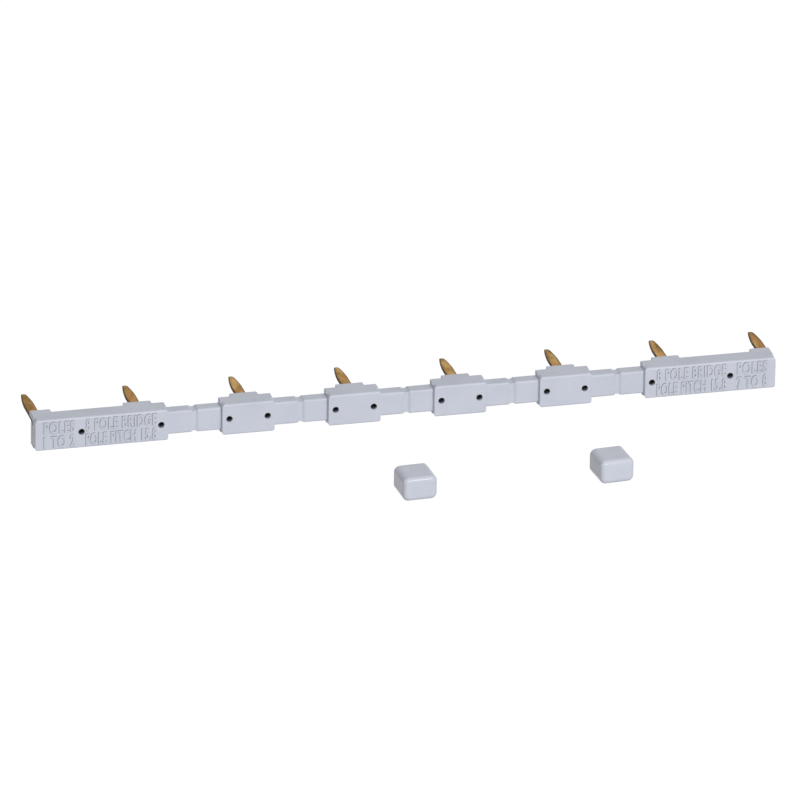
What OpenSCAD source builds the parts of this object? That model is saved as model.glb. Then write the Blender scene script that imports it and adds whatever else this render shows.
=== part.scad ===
// Relay socket jumper: a comb of blade pins stamped from one brass strip, with a grey housing
// moulded around the strip, and two loose caps that insulate the end of a shortened comb.
// Millimetres, +Z up. X runs along the comb and +Y is the way the pins point.
// The origin is the middle of the row of pins, where the pins leave the bosses.

/* [Poles] */
// Number of pins
poles = 8; // [4:1:12]
// Distance between neighbouring poles, which is the width of one relay socket
pitch = 15.8; // [15:0.1:18]

/* [Blocks] */
// Width of the block around one pole
block_w = 7.8; // [7:0.1:8.4]
// Height of the blocks
block_h = 4.8; // [4.6:0.05:5.2]
// Depth of the blocks, from the front face to the back
block_d = 2.9; // [2.7:0.05:3.2]
// Radius of the front face's upper and lower edges
edge_r = 0.3; // [0.15:0.05:0.4]
// Radius of the front face's upright edges
side_r = 0.1; // [0.05:0.05:0.3]
// Radius of the block's corners, seen from the front
corner_r = 0.5; // [0.2:0.05:0.6]
// Depth of the rounded front half, to the joint between the two mould halves
front_half = 1.4; // [0.8:0.1:2]
// Corner radius of the back half
back_corner_r = 0.15; // [0.05:0.05:0.3]

/* [Links] */
// Height of the links between the blocks
link_h = 3.55; // [3.2:0.05:3.7]
// Depth of the links
link_d = 2.1; // [1.9:0.05:2.2]
// Height of the link's underside above the underside of the blocks
link_z = 0.62; // [0.5:0.02:0.8]
// Distance from the front of the blocks to the front of the links
link_y = 0.65; // [0.5:0.05:0.75]
// Radius of the link's long edges
link_r = 0.3; // [0.15:0.05:0.4]
// Width of the floor of the waist, where the comb is cut to length
waist_floor = 0.45; // [0.3:0.05:1]
// Width of each sloping side of the waist
waist_slope = 0.36; // [0.2:0.02:0.6]
// Depth of the waist in the link's front face
waist_front = 0.2; // [0.1:0.02:0.4]
// Depth of the waist in the link's back face
waist_back = 0.2; // [0.1:0.02:0.4]
// Depth of the waist in the link's top and underside
waist_rim = 0.22; // [0.1:0.02:0.3]

/* [Bosses] */
// Width of the boss at the root of each pin
boss_w = 4.1; // [3:0.1:5]
// Width of the boss at each end of the comb, from the end face inwards
end_boss_w = 3; // [2.4:0.1:3.6]
// Length of the boss behind the block
boss_l = 1; // [0.6:0.1:1.6]
// Radius of the boss's upright back edges
boss_r = 0.2; // [0.1:0.05:0.4]

/* [Contact comb] */
// Thickness of the brass sheet
sheet_t = 0.4; // [0.35:0.05:0.5]
// Height of the strip that joins the pins
strip_h = 2; // [1.6:0.1:2.1]
// Distance from the front face of the blocks to the strip
strip_y = 1.5; // [1.4:0.05:1.6]
// Plastic that closes over each end of the strip
strip_cover = 0.5; // [0.3:0.1:0.7]
// Inside radius of the bend from the strip to a pin
bend_r = 0.3; // [0.2:0.05:0.35]
// Width of a pin
pin_w = 1.52; // [1.2:0.02:1.7]
// Length of a pin behind its boss
pin_l = 7.8; // [6:0.1:9]
// Depth of the pin's top face below the top of the block
pin_drop = 0.65; // [0.5:0.05:0.75]
// Length of the tapered end of a pin
tip_l = 3.9; // [2.5:0.1:4.5]
// Radius of the curved sides of that end
taper_r = 25; // [20:1:40]
// Width that the taper would have at the very end of the pin
nose_w = 0.56; // [0.4:0.02:0.7]
// Radius of the pin's rounded nose
nose_r = 0.45; // [0.42:0.01:0.6]
// Length of the bevel that thins the nose
bevel_l = 0.7; // [0.4:0.1:1]
// Height of that bevel, above and below
bevel_h = 0.1; // [0.04:0.02:0.14]

/* [Front holes] */
// Diameter of the blind holes that the mould's locating pins leave
hole_d = 0.95; // [0.8:0.05:1.1]
// Distance of a hole from the middle of its pole
hole_x = 2.84; // [2.5:0.02:3]
// Distance of the outer hole of an end block from the inner pole
end_hole_x = 8.95; // [8:0.05:10]
// Height of the holes above the underside of the blocks
hole_z = 2.5; // [2.2:0.05:2.6]

/* [End caps] */
// Length of a cap
cap_l = 4.9; // [4.5:0.1:6]
// Thickness of the cap's walls
cap_wall = 0.7; // [0.6:0.02:0.9]
// Thickness of the cap's closed end
cap_end = 1; // [0.8:0.1:1.4]
// Room between a cap and the link that it covers, on each side
cap_fit = 0.08; // [0.04:0.01:0.15]
// Radius of the cap's long edges
cap_r = 0.9; // [0.8:0.05:1.1]
// Radius of the edges around the cap's closed end
cap_edge_r = 0.7; // [0.3:0.05:0.8]
// Distance from the front of the blocks to the caps' open ends
cap_gap = 24; // [15:0.5:40]
// Place of the left cap along the comb
cap_left_x = -5.5; // [-20:0.1:0]
// Place of the right cap along the comb
cap_right_x = 23.5; // [6:0.1:40]
// Turn of the left cap on the table
cap_left_turn = 3; // [0:0.5:10]
// Turn of the right cap on the table
cap_right_turn = 5; // [0:0.5:10]

/* [Hidden] */
$fn = 64;

// Overlap that joins two solids, and the overshoot of a cut
lap = 0.5;
over = 1;
// The end faces stand at the outer poles, and the outer pins lie flush with them
half_l = (poles - 1) * pitch / 2;
pole_x = [for (n = [0:poles - 1]) n * pitch - half_l];
pin_x = [for (x = pole_x) max(-half_l + pin_w / 2, min(half_l - pin_w / 2, x))];
// The end blocks hold two poles each
end_block_w = pitch + block_w / 2;
mid_poles = [for (n = [2:1:poles - 3]) pole_x[n]];
link_x = [for (n = [1:1:poles - 3]) pole_x[n] + pitch / 2];
hole_xs = concat(
    [pole_x[1] - end_hole_x, pole_x[1] + hole_x],
    [for (x = mid_poles, side = [-1, 1]) x + side * hole_x],
    [pole_x[poles - 2] - hole_x, pole_x[poles - 2] + end_hole_x]
);
link_l = pitch - block_w;
// Levels of the comb above the underside of the blocks
pin_top = block_h - pin_drop;
pin_z = pin_top - sheet_t / 2;
bend_z = pin_top - sheet_t - bend_r;
bend_y = strip_y + sheet_t + bend_r;
strip_z = link_z + (link_h - strip_h) / 2;
leg_z = strip_z + strip_h - lap;
// A boss covers its pin above and at the sides, down to the pin's underside
boss_h = pin_drop + sheet_t;
seat_y = block_d + boss_l;
tip_y = seat_y + pin_l;
// Each side of the taper is an arc from the end of the straight side to the end of the pin
taper_in = (pin_w - nose_w) / 2;
taper_c = sqrt(tip_l * tip_l + taper_in * taper_in);
taper_h = sqrt(taper_r * taper_r - taper_c * taper_c / 4);
taper_x = (pin_w + nose_w) / 4 - taper_h * tip_l / taper_c;
taper_y = tip_y - tip_l / 2 - taper_h * taper_in / taper_c;
// A cap's socket is the section of a link with room around it
socket_w = link_h + 2 * cap_fit;
socket_h = link_d + 2 * cap_fit;
cap_w = socket_w + 2 * cap_wall;
cap_h = socket_h + 2 * cap_wall;
socket_l = cap_l - cap_end;
plastic = [0.78, 0.8, 0.85];
brass = [0.7, 0.55, 0.3];

// Moves a shape from the front face and underside of the blocks to the origin's frame
module placed() {
    translate([0, -seat_y, -pin_z]) children();
}

// Rectangle from the origin, with rounded corners
module rounded(w, h, r) {
    translate([r, 0]) square([w - 2 * r, h]);
    translate([0, r]) square([w, h - 2 * r]);
    for (x = [r, w - r], y = [r, h - r]) translate([x, y]) circle(r);
}

// Stands a profile of depth and height upright and draws it out along X
module along_x(l) {
    rotate([90, 0, 90]) linear_extrude(l) children();
}

// Stands a profile of width and height upright and draws it out backwards
module along_y(l) {
    translate([0, l, 0]) rotate([90, 0, 0]) linear_extrude(l) children();
}

// Block with rounded edges around its front face and a sharp back
module block(x, w) {
    translate([x, 0, 0]) intersection() {
        union() {
            along_y(block_d) rounded(w, block_h, corner_r);
            translate([0, front_half, 0]) along_y(block_d - front_half) rounded(w, block_h, back_corner_r);
        }
        linear_extrude(block_h) rounded(w, block_d + over, side_r);
        along_x(w) rounded(block_d + over, block_h, edge_r);
    }
}

// Outline of a groove with sloping sides, cut into a face at y = 0
module groove(depth) {
    top = waist_floor / 2 + waist_slope;
    floor = waist_floor / 2;
    polygon([[-top, -over], [-top, 0], [-floor, depth], [floor, depth], [top, 0], [top, -over]]);
}

// Link between two blocks, with a waist around its middle
module link(x) {
    translate([x, link_y, link_z]) difference() {
        translate([-link_l / 2 - lap, 0, 0]) along_x(link_l + 2 * lap) rounded(link_d, link_h, link_r);
        translate([0, 0, -over]) linear_extrude(link_h + 2 * over) groove(waist_front);
        translate([0, link_d, -over]) linear_extrude(link_h + 2 * over) mirror([0, 1]) groove(waist_back);
        translate([0, -over, 0]) along_y(link_d + 2 * over) groove(waist_rim);
        translate([0, -over, link_h]) along_y(link_d + 2 * over) mirror([0, 1]) groove(waist_rim);
    }
}

// Boss at the root of a pin, level with the top of the block
module boss(x, w) {
    translate([x, block_d - lap - boss_r, block_h - boss_h]) linear_extrude(boss_h)
        rounded(w, boss_l + lap + boss_r, boss_r);
}

// Row of bosses, with the outer two trimmed to the outline of the end faces
module bosses() {
    intersection() {
        union() {
            boss(-half_l - boss_r, end_boss_w + boss_r);
            for (n = [1:poles - 2]) boss(pole_x[n] - boss_w / 2, boss_w);
            boss(half_l - end_boss_w, end_boss_w + boss_r);
        }
        translate([-half_l, 0, 0]) along_y(seat_y) rounded(2 * half_l, block_h, back_corner_r);
    }
}

// Side view of a pin: the leg that rises from the strip, the bend and the blade
module pin_side() {
    translate([strip_y, leg_z]) square([sheet_t, bend_z - leg_z]);
    intersection() {
        translate([bend_y, bend_z]) difference() {
            circle(bend_r + sheet_t);
            circle(bend_r);
        }
        translate([strip_y, bend_z]) square(bend_r + sheet_t);
    }
    polygon([
        [bend_y, pin_top - sheet_t], [bend_y, pin_top], [tip_y - bevel_l, pin_top], [tip_y, pin_top - bevel_h],
        [tip_y, pin_top - sheet_t + bevel_h], [tip_y - bevel_l, pin_top - sheet_t]
    ]);
}

// Top view of a pin: straight sides, then a taper to a rounded nose
module pin_top_view() {
    translate([-pin_w / 2, 0]) square([pin_w, tip_y - tip_l]);
    intersection() {
        union() {
            translate([-pin_w / 2, tip_y - tip_l - lap]) square([pin_w, tip_l + lap - nose_r]);
            translate([0, tip_y - nose_r]) circle(nose_r);
        }
        translate([taper_x, taper_y]) circle(taper_r, $fn = 256);
        translate([-taper_x, taper_y]) circle(taper_r, $fn = 256);
    }
}

// One pin with its bend and its leg
module pin(x) {
    translate([x, 0, 0]) intersection() {
        translate([-pin_w / 2, 0, 0]) along_x(pin_w) pin_side();
        linear_extrude(block_h) pin_top_view();
    }
}

// The stamped and bent sheet, before it is moved to the origin's frame
module comb_sheet() {
    difference() {
        union() {
            translate([-half_l, strip_y, strip_z]) cube([2 * half_l, sheet_t, strip_h]);
            for (x = pin_x) pin(x);
        }
        // Below their bends the outer pins stop short of the end faces, as the strip does
        for (side = [0, 1]) mirror([side, 0, 0])
            translate([half_l - strip_cover, 0, 0]) cube([strip_cover + over, bend_y, bend_z]);
    }
}

// Moulded housing, with the comb's own shape left free inside it
module housing() {
    color(plastic) placed() difference() {
        union() {
            block(-half_l, end_block_w);
            for (x = mid_poles) block(x - block_w / 2, block_w);
            block(half_l - end_block_w, end_block_w);
            for (x = link_x) link(x);
            bosses();
        }
        comb_sheet();
        for (x = hole_xs) translate([x, -over, hole_z]) along_y(strip_y + over) circle(d = hole_d);
    }
}

// Brass strip with its eight blade pins
module contact_comb() {
    color(brass) placed() comb_sheet();
}

// Length of a cap seen from one side, with the edges of its closed end rounded
module closed_end(w) {
    translate([0, cap_edge_r]) square([w, cap_l - cap_edge_r]);
    translate([cap_edge_r, 0]) square([w - 2 * cap_edge_r, cap_l]);
    for (x = [cap_edge_r, w - cap_edge_r]) translate([x, cap_edge_r]) circle(cap_edge_r);
}

// Long corner of a cap, turned about its own axis
module cap_corner() {
    rotate([-90, 0, 0]) rotate_extrude() intersection() {
        translate([-cap_r, 0]) closed_end(2 * cap_r);
        square([cap_r, cap_l]);
    }
}

// Outside of a cap: two flat pairs of sides, joined by the four corners
module cap_body() {
    translate([cap_r, 0, 0]) rotate([90, 0, 90]) linear_extrude(cap_w - 2 * cap_r)
        mirror([1, 0]) rotate(90) closed_end(cap_h);
    translate([0, 0, cap_r]) linear_extrude(cap_h - 2 * cap_r) closed_end(cap_w);
    for (x = [cap_r, cap_w - cap_r], z = [cap_r, cap_h - cap_r]) translate([x, 0, z]) cap_corner();
}

// Cap that slides over the end of a cut link, lying on its wide side with its closed end forwards
module end_cap(x, turn) {
    placed() translate([x, -cap_gap, 0]) rotate(turn) translate([-cap_w / 2, -cap_l, 0]) difference() {
        cap_body();
        translate([cap_wall, cap_end, cap_wall]) along_y(socket_l + over)
            rounded(socket_w, socket_h, link_r + cap_fit);
    }
}

module end_cap_left() {
    color(plastic) end_cap(cap_left_x, cap_left_turn);
}

module end_cap_right() {
    color(plastic) end_cap(cap_right_x, cap_right_turn);
}

housing();
contact_comb();
end_cap_left();
end_cap_right();
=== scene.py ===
# Relay socket jumper: a brass comb of eight blade pins in a grey moulded bar, with two loose end caps.
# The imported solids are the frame. This script gives them their finishes and adds the raised marking,
# the table, the light and the camera. Lengths are in metres.
import math

import bmesh
import bpy
from mathutils import Matrix, Vector


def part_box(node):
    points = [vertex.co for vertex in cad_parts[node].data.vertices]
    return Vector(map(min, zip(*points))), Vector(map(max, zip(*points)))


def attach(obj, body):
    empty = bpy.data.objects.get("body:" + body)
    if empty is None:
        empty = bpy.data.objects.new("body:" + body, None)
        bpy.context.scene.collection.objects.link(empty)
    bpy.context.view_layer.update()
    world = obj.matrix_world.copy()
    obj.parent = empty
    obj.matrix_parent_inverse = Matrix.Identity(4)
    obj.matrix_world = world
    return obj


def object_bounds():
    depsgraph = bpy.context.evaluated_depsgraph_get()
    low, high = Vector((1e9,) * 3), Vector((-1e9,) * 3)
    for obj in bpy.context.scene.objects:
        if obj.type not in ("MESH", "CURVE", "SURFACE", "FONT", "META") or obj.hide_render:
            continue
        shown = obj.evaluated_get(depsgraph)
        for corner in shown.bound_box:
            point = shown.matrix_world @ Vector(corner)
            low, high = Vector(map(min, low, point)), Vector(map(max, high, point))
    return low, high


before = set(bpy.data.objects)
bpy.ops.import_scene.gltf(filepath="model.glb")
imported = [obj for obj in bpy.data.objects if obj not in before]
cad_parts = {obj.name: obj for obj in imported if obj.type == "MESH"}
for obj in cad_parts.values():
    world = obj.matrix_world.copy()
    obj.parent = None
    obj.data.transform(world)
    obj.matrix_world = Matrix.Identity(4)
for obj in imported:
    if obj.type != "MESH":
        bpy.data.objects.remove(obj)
cad_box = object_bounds()


# Contact comb
# One strip of rolled brass, stamped into eight blade pins and folded where each pin leaves the strip.
# The faces keep the grain of the rolled sheet under a thin brown tarnish; the edges are painted dark, as
# painted shade.
mm = 0.001
brass_bright = (0.52, 0.345, 0.155, 1)
brass_tarnished = (0.21, 0.125, 0.05, 1)
brass_reddened = (0.4, 0.18, 0.075, 1)
brass_edge_shade_colour = (0.05, 0.026, 0.012, 1)
brass_grazing = (0.85, 0.72, 0.5, 1)
brass_roughness = (0.3, 0.46)
tarnish_patch = 1.8 * mm
tarnish_stretch = 0.4  # scale along the pins: below 1, the patches are drawn out
tarnish_detail = 4.0
tarnish_raggedness = 0.6
tarnish_limits = (0.4, 0.6)  # noise at which the tarnish begins and is full
reddened_patch = 1.1 * mm
reddened_detail = 3.0
reddened_draw = 3.0  # another slice of the noise than the tarnish has
reddened_limits = (0.46, 0.64)
reddened_most = 0.85
rolling_line = 0.07 * mm
rolling_stretch = 0.05
rolling_detail = 2.0
rolling_depth = 0.006 * mm
rolling_strength = 0.35
edge_shade_radius = 0.36 * mm
edge_samples = 8
edge_limits = (0.93, 0.997)  # how level the rounded sheet is where its painted edge shade is full and where it ends
edge_shine = 0.02
usual_noise = (0.3, 0.7)  # nearly all of a noise lies between these


def new_finish(name):
    """A material, with its node tree and its shader."""
    finish = bpy.data.materials.new(name)
    finish.use_nodes = True
    return finish, finish.node_tree, finish.node_tree.nodes["Principled BSDF"]


def feed(socket, value):
    """Sets a socket to a value, or links it to the output of another node."""
    if isinstance(value, bpy.types.NodeSocket):
        socket.id_data.links.new(value, socket)
    else:
        socket.default_value = value


def add_node(tree, kind, **settings):
    """A new node, with its sockets fed and its options set by name."""
    made = tree.nodes.new(kind)
    for name, value in settings.items():
        if name in made.inputs:
            feed(made.inputs[name], value)
        else:
            setattr(made, name, value)
    return made


def mottled(tree, place, patch, detail, **settings):
    """Noise in patches of about this size."""
    noise = add_node(tree, "ShaderNodeTexNoise", Vector=place, Scale=1 / patch, Detail=detail, **settings)
    return noise.outputs[0]


def graded(tree, source, limits, results=(0.0, 1.0)):
    """A number that goes from one result to the other while source goes from one limit to the other."""
    grade = add_node(tree, "ShaderNodeMapRange", Value=source)
    for name, value in zip(("From Min", "From Max", "To Min", "To Max"), (*limits, *results)):
        feed(grade.inputs[name], value)
    return grade.outputs[0]


def mixed_colour(tree, share, first, second):
    """A colour that goes from first to second while share goes from 0 to 1."""
    mix = add_node(tree, "ShaderNodeMix", data_type="RGBA", Factor=share)
    colours = [socket for socket in mix.inputs if socket.type == "RGBA"]
    feed(colours[0], first)
    feed(colours[1], second)
    return next(socket for socket in mix.outputs if socket.type == "RGBA")


def facing(tree, normal, axis):
    """How squarely a face with this normal looks along an axis of its piece, either way, from 0 to 1."""
    turned = add_node(tree, "ShaderNodeVectorTransform", Vector=normal, vector_type="NORMAL",
                      convert_from="WORLD", convert_to="OBJECT")
    split = add_node(tree, "ShaderNodeSeparateXYZ", Vector=turned.outputs[0])
    return add_node(tree, "ShaderNodeMath", operation="ABSOLUTE", Value=split.outputs[axis]).outputs[0]


brass, tree, shader = new_finish("brass_sheet")
place = add_node(tree, "ShaderNodeTexCoord").outputs["Object"]
drawn_out = add_node(tree, "ShaderNodeMapping", Vector=place, Scale=(1, tarnish_stretch, 1)).outputs[0]
rolled_out = add_node(tree, "ShaderNodeMapping", Vector=place, Scale=(1, rolling_stretch, 1)).outputs[0]
patches = mottled(tree, drawn_out, tarnish_patch, tarnish_detail, Roughness=tarnish_raggedness)
spots = mottled(tree, drawn_out, reddened_patch, reddened_detail, noise_dimensions="4D", W=reddened_draw)
lines = mottled(tree, rolled_out, rolling_line, rolling_detail)
tarnish = graded(tree, patches, tarnish_limits)
redness = graded(tree, spots, reddened_limits, (0.0, reddened_most))
# Painted shade: where the sheet rounds over at its edges, it is painted dark and loses its metal shine.
rounded = add_node(tree, "ShaderNodeBevel", Radius=edge_shade_radius, samples=edge_samples).outputs[0]
edge_shade_mask = graded(tree, facing(tree, rounded, "Z"), edge_limits, (1.0, 0.0))
sheet = mixed_colour(tree, tarnish, brass_bright, brass_tarnished)
sheet = mixed_colour(tree, redness, sheet, brass_reddened)
sheet = mixed_colour(tree, edge_shade_mask, sheet, brass_edge_shade_colour)
grain = add_node(tree, "ShaderNodeBump", Height=lines, Strength=rolling_strength, Distance=rolling_depth)
feed(shader.inputs["Base Color"], sheet)
feed(shader.inputs["Metallic"], graded(tree, edge_shade_mask, (0.0, 1.0), (1.0, 0.0)))
feed(shader.inputs["Roughness"], graded(tree, lines, usual_noise, brass_roughness))
feed(shader.inputs["Normal"], grain.outputs[0])
feed(shader.inputs["Specular IOR Level"], edge_shine)
feed(shader.inputs["Specular Tint"], brass_grazing)
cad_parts["contact_comb"].material_slots[0].material = brass


# Housing
# One bar of pale grey thermoplastic, moulded around the strip: eight poles in six blocks, joined by
# links with a waist where the bar is cut to length. The mould was spark eroded, so the skin is finely matt.
plastic_pale = (0.605, 0.632, 0.712, 1)
plastic_deep = (0.565, 0.592, 0.675, 1)
plastic_shine = 0.22
flow_patch = 5.0 * mm
flow_detail = 3.0
skin_patch = 0.09 * mm
skin_detail = 2.0
skin_depth = 0.004 * mm
mould_edge = 0.06 * mm
painted_shade_colour = (0.016, 0.014, 0.015, 1)
recess_reach = 1.4 * mm
recess_samples = 16
recess_limits = (0.14, 0.36)  # how open a place is where its painted shade is full and where it ends
flank_limits = (0.4, 0.9)  # how squarely a face looks forwards where its painted shade is full and where it ends
housing_roughness = (0.34, 0.44)
housing_grain = 0.3


def plastic_finish(name, roughness, grain, flank_shade=0.0):
    """Pale grey plastic with flow marks and a fine skin, and painted shade in narrow recesses.

    With flank_shade, the faces that don't look forwards get painted shade too, as on the flanks of raised
    letters.
    """
    finish, tree, shader = new_finish(name)
    place = add_node(tree, "ShaderNodeTexCoord").outputs["Object"]
    flow = mottled(tree, place, flow_patch, flow_detail)
    skin = mottled(tree, place, skin_patch, skin_detail)
    # Painted shade: narrow recesses, such as the holes, are painted dark.
    openness = add_node(tree, "ShaderNodeAmbientOcclusion", Distance=recess_reach, samples=recess_samples,
                        only_local=True)
    recess = graded(tree, openness.outputs["AO"], recess_limits, (1.0, 0.0))
    colour = mixed_colour(tree, graded(tree, flow, usual_noise), plastic_pale, plastic_deep)
    colour = mixed_colour(tree, recess, colour, painted_shade_colour)
    # Painted shade on the faces that don't look forwards, such as the flanks of the letters.
    if flank_shade:
        normal = add_node(tree, "ShaderNodeNewGeometry").outputs["True Normal"]
        flank = graded(tree, facing(tree, normal, "Y"), flank_limits, (flank_shade, 0.0))
        colour = mixed_colour(tree, flank, colour, painted_shade_colour)
    soft_edges = add_node(tree, "ShaderNodeBevel", Radius=mould_edge).outputs[0]
    texture = add_node(tree, "ShaderNodeBump", Height=skin, Normal=soft_edges, Strength=grain,
                       Distance=skin_depth)
    feed(shader.inputs["Base Color"], colour)
    feed(shader.inputs["Roughness"], graded(tree, flow, usual_noise, roughness))
    feed(shader.inputs["Normal"], texture.outputs[0])
    feed(shader.inputs["Specular IOR Level"], plastic_shine)
    return finish


plastic = plastic_finish("moulded_plastic", housing_roughness, housing_grain)
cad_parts["housing"].material_slots[0].material = plastic


# Raised marking
# Two rows of narrow letters stand on the front of each end block: what the bar is, and which poles the
# block holds. They are moulded with the bar, because the letters were cut into the mould.
relief = 0.15 * mm
root_depth = 0.05 * mm
letter_height = 1.75 * mm
letter_space = 1.12
stroke_gain = 0.035 * mm
curve_steps = 5
merge_reach = 0.0005 * mm
upper_row = -1.27 * mm
lower_row = -3.5 * mm
inner_span = (37.4 * mm, 47.8 * mm)
outer_span = (49.5 * mm, 54.0 * mm)
front_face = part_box("housing")[0].y
# How dark the painted shade on the flanks of the letters is.
letter_shade = 0.8
letter_plastic = plastic_finish("lettered_plastic", housing_roughness, housing_grain, letter_shade)


def raised_words(words, row, start, end):
    """A mesh of raised letters that fill a row of the front face, from start to end along the bar."""
    text = bpy.data.objects.new(words, bpy.data.curves.new(words, "FONT"))
    text.data.body = words
    text.data.space_character = letter_space
    bpy.context.scene.collection.objects.link(text)
    for other in bpy.context.selected_objects:
        other.select_set(False)
    bpy.context.view_layer.objects.active = text
    text.select_set(True)
    bpy.ops.object.convert(target="CURVE")
    outline = text.data
    knots = [knot for spline in outline.splines for knot in spline.bezier_points]
    low = Vector((min(knot.co.x for knot in knots), min(knot.co.y for knot in knots), 0))
    high = Vector((max(knot.co.x for knot in knots), max(knot.co.y for knot in knots), 0))
    fitted = Matrix.Diagonal(((end - start) / (high.x - low.x), letter_height / (high.y - low.y), 1, 1))
    outline.transform(fitted @ Matrix.Translation(-low))
    # The transform also shrinks the knots' radius, which the stroke and the height are multiplied by.
    for knot in knots:
        knot.radius = 1.0
    outline.resolution_u = curve_steps
    outline.offset = stroke_gain
    outline.extrude = (relief + root_depth) / 2
    bpy.context.view_layer.update()
    mesh = bpy.data.meshes.new_from_object(text.evaluated_get(bpy.context.evaluated_depsgraph_get()))
    bpy.data.objects.remove(text)
    upright = Matrix.Rotation(math.radians(90), 4, "X")
    mesh.transform(Matrix.Translation((start, front_face + (root_depth - relief) / 2, row)) @ upright)
    return mesh


def new_piece(name, shape, finish):
    """An object at the origin, from a bmesh that is used up by it."""
    mesh = bpy.data.meshes.new(name)
    shape.to_mesh(mesh)
    shape.free()
    mesh.materials.append(finish)
    piece = bpy.data.objects.new(name, mesh)
    bpy.context.scene.collection.objects.link(piece)
    return piece


def marking(name, side, poles):
    """One piece that holds all the raised words of the end block on this side: -1 is left, 1 is right."""
    shape = bmesh.new()
    for words, row, span in (
        ("8 POLE BRIDGE", upper_row, inner_span),
        ("POLE PITCH 15.8", lower_row, inner_span),
        ("POLES", upper_row, outer_span),
        (poles, lower_row, outer_span),
    ):
        mesh = raised_words(words, row, *sorted(side * end for end in span))
        shape.from_mesh(mesh)
        bpy.data.meshes.remove(mesh)
    bmesh.ops.remove_doubles(shape, verts=shape.verts, dist=merge_reach)
    # The triangles that fill a letter's outline are laid anew, because some of them have no area.
    fill = [face for face in shape.faces if len(face.verts) == 3]
    bmesh.ops.beautify_fill(shape, faces=fill, edges=shape.edges, method="AREA")
    bmesh.ops.recalc_face_normals(shape, faces=shape.faces)
    piece = new_piece(name, shape, letter_plastic)
    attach(piece, "root")


marking("marking_left", -1, "1 TO 2")
marking("marking_right", 1, "7 TO 8")


# End caps
# Two loose caps of the same plastic, with thick walls and rounded edges. They close the cut ends of a
# shortened bar, and lie on the table in front of it with their closed ends forwards.
cap_roughness = (0.13, 0.18)
cap_grain = 0.1
cap_plastic = plastic_finish("smooth_plastic", cap_roughness, cap_grain)
for name in ("end_cap_left", "end_cap_right"):
    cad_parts[name].material_slots[0].material = cap_plastic


# Table
# A plain white table that the bar and the caps lie on. To the camera and in reflections it is white,
# and it keeps part of its own shading, so that the soft shadow of the object stays on it.
table_size = 4.0
table_gap = 0.01 * mm
table_colour = (0.55, 0.55, 0.55, 1)
table_seen = (0.11, 0.11, 0.11, 1)  # what is left of its colour, under the white, where it is seen
white = (1, 1, 1, 1)
white_level = 0.96


def seen_rays(tree):
    """The output that is 1 for rays that the camera, a reflection or a view through something sends."""
    rays = add_node(tree, "ShaderNodeLightPath")
    seen = rays.outputs["Is Camera Ray"]
    for kind in ("Is Glossy Ray", "Is Transmission Ray"):
        either = add_node(tree, "ShaderNodeMath", operation="MAXIMUM")
        feed(either.inputs[0], seen)
        feed(either.inputs[1], rays.outputs[kind])
        seen = either.outputs[0]
    return seen


table_finish, tree, shader = new_finish("white_table")
seen = seen_rays(tree)
feed(shader.inputs["Base Color"], mixed_colour(tree, seen, table_colour, table_seen))
feed(shader.inputs["Roughness"], 1.0)
feed(shader.inputs["Specular IOR Level"], 0.0)
feed(shader.inputs["Emission Color"], white)
feed(shader.inputs["Emission Strength"], graded(tree, seen, (0.0, 1.0), (0.0, white_level)))

shape = bmesh.new()
bmesh.ops.create_grid(shape, x_segments=1, y_segments=1, size=table_size / 2)
bmesh.ops.translate(shape, verts=shape.verts, vec=(0, 0, cad_box[0].z - table_gap))
table = new_piece("table", shape, table_finish)


# Light
# One soft box in front of the bar, up and a little to the right, which draws a soft line of light along
# the rounded front edges, a weaker one low behind it that only fills the shade, and an even white room.
key_towards = (0.13, -0.86, 0.46)
key_size = (0.45, 0.4)
key_level = 0.765
fill_towards = (0.1, 0.95, 0.2)
fill_size = (1.0, 0.5)
fill_level = 0.32
lamp_distance = 0.9
lamp_aim = Vector((0, -10, 0)) * mm
room_level = 0.3


def soft_box(name, towards, size, level):
    """An area lamp that shines on the bar; level is what it adds to a white surface that faces it."""
    lamp = bpy.data.lights.new(name, "AREA")
    lamp.shape = "RECTANGLE"
    lamp.size, lamp.size_y = size
    lamp.energy = level * math.pi ** 2 * lamp_distance ** 2
    box = bpy.data.objects.new(name, lamp)
    direction = Vector(towards).normalized()
    box.location = lamp_aim + direction * lamp_distance
    box.rotation_mode = "QUATERNION"
    box.rotation_quaternion = direction.to_track_quat("Z", "Y")
    bpy.context.scene.collection.objects.link(box)
    return box


soft_box("key_box", key_towards, key_size, key_level)
back_fill = soft_box("back_fill", fill_towards, fill_size, fill_level)
back_fill.visible_glossy = False

world = bpy.data.worlds.new("white_room")
world.use_nodes = True
tree = world.node_tree
room = tree.nodes["Background"]
feed(room.inputs["Color"], white)
feed(room.inputs["Strength"], graded(tree, seen_rays(tree), (0.0, 1.0), (room_level, 1.0)))
bpy.context.scene.world = world


# Camera
# A long lens, so that the bar's edges stay nearly parallel. It looks down on the front of the bar
# from a little to the left, with the bar's middle just right of the middle of the picture.
view_turn = math.radians(14.288)
view_tilt = math.radians(23.299)
view_roll = math.radians(-0.813)
view_distance = 2000 * mm
picture_px = 800
px_per_mm = 6.895
middle_px = (5.802, 0.349)
bar_middle = Vector((0, -2.75, -1.4)) * mm

pixel = mm / px_per_mm
lens = bpy.data.cameras.new("camera")
lens.sensor_fit = "HORIZONTAL"
lens.lens = lens.sensor_width * view_distance / (picture_px * pixel)
camera = bpy.data.objects.new("camera", lens)
turned = Matrix.Rotation(-view_turn, 4, "Z")
tilted = Matrix.Rotation(math.radians(90) - view_tilt, 4, "X")
rolled = Matrix.Rotation(-view_roll, 4, "Z")
drawn_back = Matrix.Translation((-middle_px[0] * pixel, middle_px[1] * pixel, view_distance))
camera.matrix_world = Matrix.Translation(bar_middle) @ turned @ tilted @ rolled @ drawn_back
bpy.context.scene.collection.objects.link(camera)
bpy.context.scene.camera = camera
bpy.context.scene.view_settings.view_transform = "Standard"
